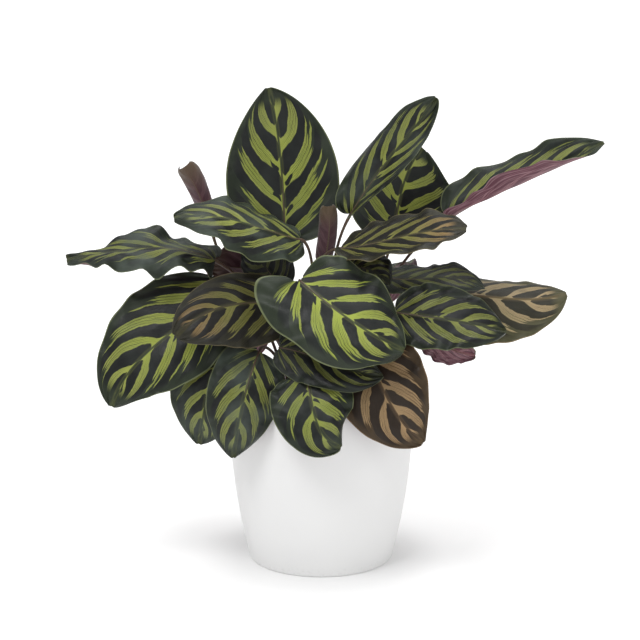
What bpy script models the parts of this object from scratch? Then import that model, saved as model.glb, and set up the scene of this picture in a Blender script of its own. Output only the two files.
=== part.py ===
"""A calathea in a white pot: every leaf blade, every stalk, the soil and the pot as its own solid.

Lengths in the tables are millimetres. +Z is up, the front of the plant looks along -Y,
and the origin is the middle of the pot's flat underside.
"""

import math
from dataclasses import dataclass

import bmesh
import bpy
import numpy as np
from mathutils import Matrix, Vector

MM = 0.001
MERGE_DISTANCE = 1e-6

# Pot: a turned bowl with a swelling side, a flat underside and a flat-topped rim.
POT_HEIGHT = 148
RIM_RADIUS = 80
POT_TAPER = 18
SIDE_SWELL = 2.15
WALL = 3
FLOOR = 4
FOOT_ROUNDING = 3
POT_SIDES = 44
POT_RINGS = 7

# Soil: a plug that stands clear of the pot all round and holds one blind hole for each stalk.
FIT_GAP = 0.3
SOIL_TOP = 134
SOIL_CROWN = 3
ROOTING_DEPTH = 12
SOIL_RINGS = 4
HOLE_SIDES = 8

# Leaves.
BLADE_THICKNESS = 0.6
BLADE_ROWS = 8
BLADE_COLUMNS = 6
ROLLED_COLUMNS = 10
ROLLED_CURL = 90
BLADE_START, BLADE_END = 0.004, 0.992
BASE_POWER, TIP_POWER = 0.5, 0.75
MIDRIB_STEPS = 64
STALK_RADIUS = 1.4
STALK_STEPS = 8
STALK_RESOLUTION = 1
BLADE_GAP = 0.8


@dataclass(frozen=True)
class Leaf:
    """One leaf. Left and right are as seen from the upper side with the tip pointing up."""

    name: str
    midrib: tuple  # four points from the blade's base to its tip
    faces: tuple  # where the upper side looks, at the base and at the tip
    reach: tuple  # from the midrib to the left and to the right margin, where it is widest
    root: tuple  # where the stalk leaves the soil: x, y
    left: tuple = (8, 10, 10, 10)  # lift at the midrib, then curl at base, middle and tip, degrees
    right: tuple = (8, 10, 10, 10)
    lobes: tuple = (0.15, 0.15)  # how far each side reaches back past the base
    ripple: tuple = (1.5, 2.0, 0)  # height, waves along the margin, phase in degrees
    arch: tuple = (0.4, 0.3)  # how far the stalk runs straight at the soil and at the blade
    meets: tuple = ()  # the stalk's direction where it meets the blade, if not along the midrib
    tip: float = TIP_POWER  # lower for a blunter tip
    colour: str = "green"


LEAVES = (
    Leaf("top", ((-31, 18, 280), (-33, 28, 322), (-37, 34, 366), (-45, 36, 409)),
         ((0.05, -1, 0.25), (0.05, -1, 0.1)), (50, 50), (-8, 12),
         (8, 10, 10, 10), (8, 10, 10, 10)),
    Leaf("upper_left", ((-18, -8, 285), (-50, -22, 298), (-85, -34, 310), (-124, -44, 312)),
         ((-0.1, -0.5, 0.85), (-0.1, -0.4, 0.9)), (34, 34), (-6, -4),
         (0, -40, -40, -10), (0, -20, -20, 10), arch=(0.5, 0.12)),
    Leaf("far_left", ((-90, -27, 271), (-133, -30, 283), (-173, -34, 281), (-215, -38, 274)),
         ((0, -0.05, 1), (0, -0.05, 1)), (26, 30), (-28, 8),
         (-5, -50, -50, -10), (5, 10, 10, 10), ripple=(4, 2.0, 0), arch=(0.45, 0.2)),
    Leaf("left", ((-82, -28, 252), (-119, -44, 219), (-157, -54, 187), (-177, -56, 150)),
         ((-0.35, -0.85, 0.35), (-0.35, -0.85, 0.35)), (45, 49), (-30, -14),
         (5, -20, -20, -10), (5, -5, -5, 5), lobes=(0, 0), arch=(0.5, 0.1)),
    Leaf("bronze_left", ((-24, -30, 238), (-55, -48, 240), (-92, -74, 239), (-121, -84, 219)),
         ((-0.1, -0.9, 0.4), (-0.1, -0.9, 0.4)), (38, 27), (-14, -22),
         (0, -10, -10, -10), (0, -20, 0, 0), colour="bronze", tip=0.6),
    Leaf("low_left_outer", ((-84, -50, 198), (-94, -62, 172), (-99, -66, 148), (-103, -64, 120)),
         ((-0.3, -0.95, 0.1), (-0.3, -0.95, 0.1)), (33, 33), (-36, -18),
         (5, 0, 0, 0), (5, 0, 0, 0)),
    Leaf("low_left_inner", ((-52, -54, 199), (-60, -73, 181), (-68, -80, 151), (-74, -74, 111)),
         ((-0.1, -0.98, 0.1), (-0.1, -0.98, 0.1)), (32, 32), (-22, -28),
         (-20, 0, 0, 0), (5, 0, 0, 0)),
    Leaf("low_front", ((-17, -72, 187), (-9, -90, 170), (-3, -102, 149), (17, -106, 130)),
         ((-0.1, -0.98, 0.2), (0.0, -0.98, 0.1)), (36, 35), (-4, -38),
         (0, -30, -30, -30), (5, 0, 0, 0)),
    Leaf("shade_front", ((-35, -57, 203), (-4, -71, 198), (24, -80, 190), (52, -78, 184)),
         ((0, -0.85, 0.5), (0, -0.85, 0.5)), (26, 26), (8, -26),
         (5, 0, 0, 0), (5, 0, 0, 0), meets=(-0.4, -0.7, 0.6)),
    Leaf("low_right", ((34, -52, 207), (46, -72, 184), (60, -84, 158), (86, -87, 128)),
         ((-0.25, -0.95, 0.15), (-0.1, -0.98, 0.1)), (40, 40), (18, -32),
         (5, -20, -20, 0), (5, 0, 0, 0), colour="bronze"),
    Leaf("front", ((-18, -55, 261), (6, -74, 245), (35, -90, 228), (69, -97, 211)),
         ((0, -0.8, 0.6), (0, -0.8, 0.6)), (49, 46), (6, -22),
         (-5, -30, -15, 0), (5, 0, -30, -50), lobes=(0.3, 0.6), ripple=(5, 2.5, 0), meets=(0.1, -0.55, 0.85)),
    Leaf("upper_right", ((25, 0, 305), (50, -4, 344), (74, -8, 376), (98, -10, 408)),
         ((-0.1, -1, 0.2), (0.1, -1, 0.2)), (27, 20), (12, 6),
         (10, 10, -90, 10), (20, 140, 40, 10), tip=0.65),
    Leaf("behind_right", ((61, 30, 276), (67, 40, 305), (74, 46, 330), (88, 48, 354)),
         ((0, -1, 0.15), (0, -1, 0.15)), (46, 48), (22, 22),
         (8, 10, 10, 10), (8, 10, 10, 10), tip=0.55),
    Leaf("far_right", ((111, 7, 301), (151, 4, 324), (196, 0, 345), (240, -2, 368)),
         ((0, -0.6, 0.8), (0, -0.7, 0.7)), (31, 24), (34, 14),
         (10, 0, -20, 0), (20, 160, 130, 40), ripple=(6, 1.5, 75)),
    Leaf("mid_right", ((17, -20, 280), (54, -34, 290), (89, -44, 300), (122, -50, 303)),
         ((0, -0.4, 0.9), (0, -0.4, 0.9)), (28, 28), (6, -8),
         (5, 0, 0, 0), (5, 0, 0, 0), tip=0.5),
    Leaf("under_right", ((24, -20, 262), (38, -26, 264), (49, -32, 259), (58, -36, 252)),
         ((0, -0.6, 0.8), (0, -0.6, 0.8)), (20, 20), (12, -14),
         (5, 0, 0, 0), (5, 0, 0, 0)),
    Leaf("dark_right", ((54, -14, 254), (83, -22, 254), (113, -28, 256), (138, -32, 247)),
         ((0, -0.35, 0.9), (0, -0.35, 0.9)), (26, 26), (26, -8),
         (0, -20, -20, 0), (5, 0, 0, 0)),
    Leaf("green_right", ((62, -55, 233), (95, -69, 232), (126, -78, 229), (154, -80, 223)),
         ((0, -0.8, 0.6), (0, -0.8, 0.6)), (30, 30), (30, -18),
         (5, 0, 0, 0), (5, 0, 0, 0)),
    Leaf("bronze_right", ((101, 0, 235), (138, -6, 235), (174, -10, 233), (210, -12, 239)),
         ((0, -0.8, 0.6), (0, -0.8, 0.6)), (42, 42), (34, -4),
         (-25, -40, -40, -20), (0, -10, -10, -10), colour="bronze"),
    Leaf("pink_right", ((84, -30, 207), (101, -36, 200), (116, -40, 195), (131, -42, 192)),
         ((0, 0.85, 0.5), (0, 0.85, 0.5)), (22, 24), (36, -14),
         (5, 0, 0, 0), (5, 0, 0, 0)),
    Leaf("young_left", ((-93, 20, 282), (-101, 20, 309), (-108, 18, 326), (-118, 16, 343)),
         ((0, 0.9, 0.3), (0, 0.9, 0.3)), (23, 23), (-24, 14),
         (5, 60, 150, 120), (5, 60, 120, 100), tip=0.2),
    Leaf("young_centre", ((2, -6, 263), (6, -7, 283), (7, -7, 298), (6, -7, 314)),
         ((0, 0.9, 0.3), (0, 0.9, 0.3)), (21, 21), (4, 4),
         (5, 60, 150, 120), (5, 60, 120, 100), tip=0.3),
    Leaf("shade_left", ((-44, 2, 250), (-63, -2, 258), (-82, -6, 261), (-98, -8, 261)),
         ((0, 0.9, 0.3), (0, 0.9, 0.3)), (25, 25), (-14, -2),
         (5, 0, 0, 0), (5, 0, 0, 0)),
    Leaf("shade_centre", ((-38, -14, 245), (-46, -20, 262), (-56, -24, 274), (-66, -26, 283)),
         ((0, -0.8, 0.5), (0, -0.8, 0.5)), (25, 25), (-10, -12),
         (5, 0, 0, 0), (5, 0, 0, 0)),
    Leaf("back_middle", ((28, 50, 232), (38, 80, 234), (46, 108, 218), (48, 126, 188)),
         ((0, 0.5, 0.85), (0, 0.95, 0.3)), (46, 46), (2, 30),
         (5, 0, 0, 0), (5, 0, 0, 0)),
    Leaf("back_left", ((-48, 42, 230), (-72, 70, 234), (-94, 96, 222), (-108, 114, 194)),
         ((-0.4, 0.3, 0.85), (-0.6, 0.75, 0.3)), (42, 42), (-24, 28),
         (5, 0, 0, 0), (5, 0, 0, 0)),
    Leaf("back_right", ((62, 32, 232), (90, 52, 236), (118, 70, 226), (136, 84, 200)),
         ((0.4, 0.3, 0.85), (0.6, 0.75, 0.3)), (42, 42), (26, 30),
         (5, 0, 0, 0), (5, 0, 0, 0), colour="bronze"),
    Leaf("back_low_left", ((-46, 62, 206), (-62, 88, 194), (-72, 102, 168), (-78, 106, 134)),
         ((-0.3, 0.7, 0.6), (-0.4, 0.9, 0.1)), (37, 37), (-14, 38),
         (5, 0, 0, 0), (5, 0, 0, 0)),
    Leaf("back_low_middle", ((12, 68, 204), (14, 92, 192), (12, 106, 164), (8, 110, 128)),
         ((0.0, 0.7, 0.6), (0.0, 0.95, 0.1)), (37, 37), (14, 40),
         (5, 0, 0, 0), (5, 0, 0, 0)),
)


def blade_outline(leaf, v):
    """Half width of the blade at the fraction v of its length, 1 where it is widest."""
    widest = BASE_POWER / (BASE_POWER + leaf.tip)
    return (v / widest) ** BASE_POWER * ((1 - v) / (1 - widest)) ** leaf.tip


def midrib_line(leaf):
    """Points along the cubic through the four midrib points, and the direction the blade looks there."""
    knots = np.array(leaf.midrib, float)
    chords = np.linalg.norm(np.diff(knots, axis=0), axis=1)
    at = np.concatenate([[0], np.cumsum(chords)]) / chords.sum()
    cubic = np.linalg.solve(np.vander(at, 4, increasing=True), knots)
    t = np.linspace(0, 1, MIDRIB_STEPS + 1)
    line = np.vander(t, 4, increasing=True) @ cubic
    base_looks, tip_looks = (np.array(way, float) for way in leaf.faces)
    looks = np.outer(1 - t, base_looks) + np.outer(t, tip_looks)
    return line, looks


def unit(vectors):
    return vectors / np.linalg.norm(vectors, axis=-1, keepdims=True)


def along(line, values, v):
    """Values given at the points of a line, read at the fractions v of its length."""
    steps = np.linalg.norm(np.diff(line, axis=0), axis=1)
    reached = np.concatenate([[0], np.cumsum(steps)]) / steps.sum()
    return np.stack([np.interp(v, reached, values[:, axis]) for axis in range(3)], axis=-1)


def blend(three, v):
    """A value given at the base, the middle and the tip, read at v."""
    base, middle, tip = three
    return base * (1 - v) * (1 - 2 * v) + 4 * middle * v * (1 - v) + tip * v * (2 * v - 1)


def blade_point(leaf, u, v):
    """Points of the blade's middle surface: u runs from -1 at the left margin to 1 at the right one."""
    line, looks = midrib_line(leaf)
    length = np.linalg.norm(np.diff(line, axis=0), axis=1).sum()
    tangents = unit(np.gradient(line, axis=0))
    outline = blade_outline(leaf, v)
    lobe = np.where(u < 0, leaf.lobes[0], leaf.lobes[1])
    behind = lobe * outline * np.abs(u) ** 3 * (1 - v) ** 3
    spine = along(line, line, v)
    tangent = unit(along(line, tangents, v))
    upward = along(line, looks, v)
    upward = unit(upward - tangent * (upward * tangent).sum(-1, keepdims=True))
    across = np.cross(tangent, upward)
    outward = np.abs(u)
    side = np.where(u < 0, -1.0, 1.0)
    lift = np.radians(np.where(u < 0, leaf.left[0], leaf.right[0]))
    curl = np.radians(np.where(u < 0, blend(leaf.left[1:], v), blend(leaf.right[1:], v)))
    curl = np.where(np.abs(curl) < 0.001, 0.001, curl)
    half = np.where(u < 0, *leaf.reach) * outline
    out = half * (np.sin(lift + curl * outward) - np.sin(lift)) / curl
    rise = half * (np.cos(lift) - np.cos(lift + curl * outward)) / curl
    height, waves, phase = leaf.ripple
    rise = rise + height * outward ** 2 * np.sin(2 * np.pi * waves * v + np.radians(phase) + side)
    return (spine - tangent * (behind * length)[..., None]
            + across * (side * out)[..., None] + upward * rise[..., None])


def stalk_line(leaf):
    """The stalk's centre line, from the bottom of its hole in the soil to the blade's base."""
    line, _ = midrib_line(leaf)
    heading = unit(np.array(leaf.meets, float) if leaf.meets else line[1] - line[0])
    base = blade_point(leaf, np.array(0.0), np.array(BLADE_START))
    end = base - heading * BLADE_GAP
    ground = np.array([leaf.root[0], leaf.root[1], SOIL_TOP + SOIL_CROWN], float)
    span = np.linalg.norm(end - ground)
    rise = ground + np.array([0, 0, span * leaf.arch[0]])
    arrive = end - heading * span * leaf.arch[1]
    t = np.linspace(0, 1, STALK_STEPS + 1)[:, None]
    arc = (ground * (1 - t) ** 3 + 3 * rise * t * (1 - t) ** 2
           + 3 * arrive * t ** 2 * (1 - t) + end * t ** 3)
    foot = np.array([leaf.root[0], leaf.root[1], SOIL_TOP + SOIL_CROWN - ROOTING_DEPTH + FIT_GAP], float)
    return np.vstack([foot, arc])


def blade_shape(leaf):
    """Rows of points over the blade, closer together towards its base and its tip."""
    rolled = max(leaf.left[1:] + leaf.right[1:]) > ROLLED_CURL
    columns = ROLLED_COLUMNS if rolled else BLADE_COLUMNS
    steps = 0.5 - 0.5 * np.cos(np.linspace(0, math.pi, BLADE_ROWS + 1))
    rows = BLADE_START + (BLADE_END - BLADE_START) * steps
    u, v = np.meshgrid(np.linspace(-1, 1, columns + 1), rows)
    return blade_point(leaf, u, v) * MM


def pot_radius(z):
    """Outer radius of the pot at the height z."""
    return RIM_RADIUS - POT_TAPER * (1 - z / POT_HEIGHT) ** SIDE_SWELL


def pot_profile():
    """The pot's half section, from the middle of its underside round the rim to the middle of its floor."""
    foot = pot_radius(FOOT_ROUNDING)
    outside = [(pot_radius(z), z) for z in np.linspace(FOOT_ROUNDING, POT_HEIGHT, POT_RINGS)]
    inside = [(pot_radius(z) - WALL, z) for z in np.linspace(POT_HEIGHT, FLOOR, POT_RINGS)]
    return [(0, 0), (foot - FOOT_ROUNDING, 0), (foot - FOOT_ROUNDING * 0.3, FOOT_ROUNDING * 0.3),
            *outside, *inside, (0, FLOOR)]


def soil_profile():
    """The soil's half section: it fills the pot's inside, less the gap, and is a little higher in the middle."""
    bottom = FLOOR + FIT_GAP
    heights = np.linspace(bottom, SOIL_TOP, SOIL_RINGS)
    side = [(pot_radius(z) - WALL - 2 * FIT_GAP, z) for z in heights]
    edge = side[-1][0]
    crown = [(edge * part, SOIL_TOP + SOIL_CROWN * (1 - part ** 2)) for part in (0.75, 0.45)]
    return [(0, bottom), *side, *crown, (0, SOIL_TOP + SOIL_CROWN)]


def material(name, colour, roughness):
    made = bpy.data.materials.new(name)
    made.use_nodes = True
    shader = made.node_tree.nodes["Principled BSDF"]
    shader.inputs["Base Color"].default_value = (*colour, 1)
    shader.inputs["Roughness"].default_value = roughness
    shader.inputs["Metallic"].default_value = 0
    return made


def place(name, data, finish, plant):
    """Puts a mesh or a curve in the scene under its own name, held by the plant's empty."""
    node = bpy.data.objects.new(name, data)
    data.materials.append(finish)
    bpy.context.scene.collection.objects.link(node)
    node.parent = plant
    return node


def mesh_from(name, build):
    """A mesh made from the bmesh that build fills."""
    shape = bmesh.new()
    build(shape)
    mesh = bpy.data.meshes.new(name)
    shape.to_mesh(mesh)
    shape.free()
    return mesh


def turned_mesh(name, profile):
    """The solid that a half section sweeps when it turns once round the Z axis."""

    def build(shape):
        points = [shape.verts.new((radius * MM, 0, z * MM)) for radius, z in profile]
        edges = [shape.edges.new(pair) for pair in zip(points, points[1:])]
        bmesh.ops.spin(shape, geom=points + edges, cent=(0, 0, 0), axis=(0, 0, 1),
                       angle=math.tau, steps=POT_SIDES)
        bmesh.ops.remove_doubles(shape, verts=shape.verts, dist=MERGE_DISTANCE)
        bmesh.ops.recalc_face_normals(shape, faces=shape.faces)

    mesh = mesh_from(name, build)
    mesh.shade_smooth()
    mesh.set_sharp_from_angle(angle=math.radians(40))
    return mesh


def add_pot(plant):
    finish = material("white_pot", (0.83, 0.83, 0.84), 0.4)
    place("pot", turned_mesh("pot", pot_profile()), finish, plant)


def add_soil(plant):
    """The soil, with one blind hole where each stalk goes in."""
    finish = material("potting_soil", (0.035, 0.022, 0.014), 0.95)
    soil = place("soil", turned_mesh("soil", soil_profile()), finish, plant)

    def build(shape):
        for leaf in LEAVES:
            depth = 2 * ROOTING_DEPTH
            middle = SOIL_TOP + SOIL_CROWN - ROOTING_DEPTH + depth / 2
            spot = Vector((leaf.root[0], leaf.root[1], middle)) * MM
            bmesh.ops.create_cone(
                shape, cap_ends=True, segments=HOLE_SIDES, depth=depth * MM,
                radius1=(STALK_RADIUS + 2 * FIT_GAP) * MM, radius2=(STALK_RADIUS + 2 * FIT_GAP) * MM,
                matrix=Matrix.Translation(spot))

    cutter = place("stalk_holes", mesh_from("stalk_holes", build), finish, plant)
    cutter.hide_render = True
    cutter.display_type = "WIRE"
    holes = soil.modifiers.new("stalk holes", "BOOLEAN")
    holes.operation = "DIFFERENCE"
    holes.object = cutter


def add_blade(leaf, finish, plant):
    rows = blade_shape(leaf)

    def build(shape):
        grid = [[shape.verts.new(point) for point in row] for row in rows]
        for lower, upper in zip(grid, grid[1:]):
            for left, right, above_left, above_right in zip(lower, lower[1:], upper, upper[1:]):
                shape.faces.new((left, right, above_right, above_left))

    mesh = mesh_from(f"blade_{leaf.name}", build)
    mesh.shade_smooth()
    blade = place(f"blade_{leaf.name}", mesh, finish, plant)
    thickness = blade.modifiers.new("thickness", "SOLIDIFY")
    thickness.thickness = BLADE_THICKNESS * MM
    thickness.offset = 0


def add_stalk(leaf, finish, plant):
    line = stalk_line(leaf) * MM
    curve = bpy.data.curves.new(f"stalk_{leaf.name}", "CURVE")
    curve.dimensions = "3D"
    curve.bevel_depth = STALK_RADIUS * MM
    curve.bevel_resolution = STALK_RESOLUTION
    curve.use_fill_caps = True
    spline = curve.splines.new("POLY")
    spline.points.add(len(line) - 1)
    for point, spot in zip(spline.points, line):
        point.co = (*spot, 1)
    place(f"stalk_{leaf.name}", curve, finish, plant)


def clear_scene():
    for node in list(bpy.data.objects):
        bpy.data.objects.remove(node)


def main():
    clear_scene()
    plant = bpy.data.objects.new("potted_calathea", None)
    bpy.context.scene.collection.objects.link(plant)
    add_pot(plant)
    add_soil(plant)
    blade_finishes = {
        "green": material("green_blade", (0.10, 0.15, 0.04), 0.45),
        "bronze": material("bronze_blade", (0.16, 0.10, 0.05), 0.45),
    }
    stalk_finish = material("maroon_stalk", (0.09, 0.035, 0.035), 0.5)
    for leaf in LEAVES:
        add_blade(leaf, blade_finishes[leaf.colour], plant)
        add_stalk(leaf, stalk_finish, plant)


if __name__ == "__main__":
    main()
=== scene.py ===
"""The finish of a potted calathea: fine leaf blades, stalks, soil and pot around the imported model.

Lengths in the leaf table are millimetres, everything else is in metres. +Z is up and the
front of the plant looks along -Y. Left and right of a leaf are as seen from its upper side
with the tip pointing up.
"""

import math
from dataclasses import dataclass

import bmesh
import bpy
import numpy as np
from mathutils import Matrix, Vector


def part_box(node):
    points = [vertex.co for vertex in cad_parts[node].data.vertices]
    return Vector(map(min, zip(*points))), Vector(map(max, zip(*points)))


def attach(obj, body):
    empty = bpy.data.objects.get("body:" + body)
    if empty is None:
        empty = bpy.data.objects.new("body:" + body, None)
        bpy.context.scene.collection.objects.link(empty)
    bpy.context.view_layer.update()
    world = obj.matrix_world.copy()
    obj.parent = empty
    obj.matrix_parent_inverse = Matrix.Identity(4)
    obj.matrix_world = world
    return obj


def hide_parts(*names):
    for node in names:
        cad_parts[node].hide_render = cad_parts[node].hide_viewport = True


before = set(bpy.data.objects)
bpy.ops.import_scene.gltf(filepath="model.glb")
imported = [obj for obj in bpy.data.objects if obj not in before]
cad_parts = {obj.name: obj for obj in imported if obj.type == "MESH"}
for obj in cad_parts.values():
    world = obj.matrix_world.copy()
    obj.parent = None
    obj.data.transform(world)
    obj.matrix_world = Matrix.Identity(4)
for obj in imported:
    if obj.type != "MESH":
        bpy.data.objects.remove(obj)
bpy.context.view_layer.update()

MM = 0.001
MERGE_DISTANCE = 1e-7

# Leaf blades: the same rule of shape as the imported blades, on a finer grid.
BLADE_THICKNESS = 0.5 * MM
BLADE_ROWS = 76
BLADE_COLUMNS = 44
BLADE_START, BLADE_END = 0.004, 0.992
BASE_POWER, TIP_POWER = 0.5, 0.75
LEAST_CURL = 0.001
MIDRIB_STEPS = 64

# Side veins leave the midrib at a slant and bend towards the tip.
VEIN_SLANT = 0.30
VEIN_BEND = 0.24
STRIPES = 5.0
QUILT = 0.85 * MM
MIDRIB_GROOVE = 0.6 * MM
FOLD_HEIGHT = 5.5 * MM
CRIMP_HEIGHT = 1.6 * MM
CRIMP_WAVES = 5.0

SIDE_STAGGER = 0.42  # how far the right side's stripes are out of step with the left side's
SHIFT_STEP = 0.37  # how far each leaf's stripes are out of step with the leaf before it
RIB_HALF_WIDTH = 0.00105
RIB_END = 0.92
RIB_DEPTH = 0.5
RIM_ANGLE = 60

# How each leaf looks where it isn't usual. shade darkens it: painted shade on leaves deep in
# the plant, and a darker tone of their own on a few. Its sheen value paints grey-blue sheen on
# it in patches, glow brightens its stripes, and folds is the height of its folds and crimps.
USUAL_LOOK = dict(shade=0.0, bloom=0.1, glow=0.0, stripes=STRIPES, folds=1.0)
LOOKS = {
    "top": dict(shade=0.1, glow=0.3, stripes=4.4, folds=0.6),
    "upper_left": dict(bloom=0.5, folds=1.3),
    "far_left": dict(shade=0.25, bloom=0.65, folds=2.2),
    "left": dict(glow=0.35, stripes=4.8, folds=1.2),
    "bronze_left": dict(skin="dusky", shade=0.3, folds=0.8),
    "low_left_outer": dict(shade=0.12, bloom=0.35, stripes=4.2, folds=0.3),
    "low_left_inner": dict(shade=0.22, bloom=0.5, stripes=4.2, folds=0.9),
    "low_front": dict(shade=0.12, bloom=0.2, glow=0.35, stripes=3.8, folds=1.2),
    "shade_front": dict(shade=0.5, folds=0.8),
    "low_right": dict(glow=0.3, stripes=4.3),
    "front": dict(glow=0.6, stripes=4.6, folds=1.5),
    "upper_right": dict(shade=0.15, bloom=0.3, folds=2.0),
    "behind_right": dict(shade=0.1, glow=0.3, stripes=4.0),
    "far_right": dict(bloom=0.3, folds=1.6),
    "mid_right": dict(skin="dusky", shade=0.05, folds=1.3),
    "under_right": dict(shade=0.55),
    "dark_right": dict(shade=0.5, bloom=0.3),
    "green_right": dict(shade=0.28, stripes=4.4, folds=1.4),
    "bronze_right": dict(skin="olive_tan", glow=0.3, stripes=4.4),
    "young_left": dict(shade=0.75),
    "young_centre": dict(shade=0.85),
    "shade_left": dict(shade=0.78),
    "shade_centre": dict(shade=0.75),
}

# Markings, in parts of the way from the midrib to the margin or from one stripe to the next.
BLOTCH_WIDTH = (0.52, 0.78)
STRIPE_ENDS = (0.60, 0.86)
STRANDS = 7.0
HAIRS = 15.0
CROSS_VEINS = 42.0
TIP_FADE = (0.93, 0.85)
BASE_FADE = (-0.32, -0.2)

# Stalks.
STALK_RADIUS = 1.4
STALK_STEPS = 40
STALK_SIDES = 14
BLADE_GAP = 0.8
FIT_GAP = 0.3
ROOTING_DEPTH = 12

# Pot and soil.
POT_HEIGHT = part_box("pot")[1].z
RIM_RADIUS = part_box("pot")[1].x
POT_TAPER = 0.018
SIDE_SWELL = 2.15
WALL = 0.003
FLOOR = 0.004
FOOT_ROUNDING = 0.003
RIM_ROUNDING = 0.0015
CRUMB_MARGIN = 0.003
CRUMB_KINDS = ((1.0, 1.0), (0.018, 1.15))  # share of the crumb count, and of the crumb size
POT_SIDES = 192
SOIL_TOP = 0.134
SOIL_CROWN = 0.003
SOIL_SIDES = 96

# Camera and light.
VIEW_ELEVATION = math.radians(14.5)
VIEW_DISTANCE = 2.4
VIEW_AIM = Vector((-0.001, 0, 0.2122))
LENS = 157
FLOOR_SIZE = 6
FLOOR_GLOW = 0.36
FAR_GLOW = 0.66
GLOW_SPREAD = (0.25, 1.6)
# The floor glows less round the pot's foot: a painted contact shadow.
FOOT_SHADOW_GLOW = 0.16
FOOT_SHADOW_SPREAD = (0.06, 0.12)
WORLD_STRENGTH = 0.5
LAMPS = (
    ("key", (-0.9, -1.3, 2.3), 1.1, 26),
    ("fill", (1.9, -1.3, 1.2), 1.6, 7),
    ("top", (0.3, 0.5, 2.3), 1.2, 18),
)


@dataclass(frozen=True)
class Leaf:
    """One leaf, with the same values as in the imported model."""

    name: str
    midrib: tuple  # four points from the blade's base to its tip
    faces: tuple  # where the upper side looks: one direction, or one at the base and one at the tip
    reach: tuple  # from the midrib to the left and to the right margin, where it is widest
    root: tuple  # where the stalk leaves the soil: x, y
    left: tuple = (5, 0, 0, 0)  # lift at the midrib, then curl at base, middle and tip, degrees
    right: tuple = (5, 0, 0, 0)
    lobes: tuple = (0.15, 0.15)  # how far each side reaches back past the base
    ripple: tuple = (1.5, 2.0, 0)  # height, waves along the margin, phase in degrees
    arch: tuple = (0.4, 0.3)  # how far the stalk runs straight at the soil and at the blade
    meets: tuple = ()  # the stalk's direction where it meets the blade, if not along the midrib
    tip: float = TIP_POWER  # lower for a blunter tip
    colour: str = "green"


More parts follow.
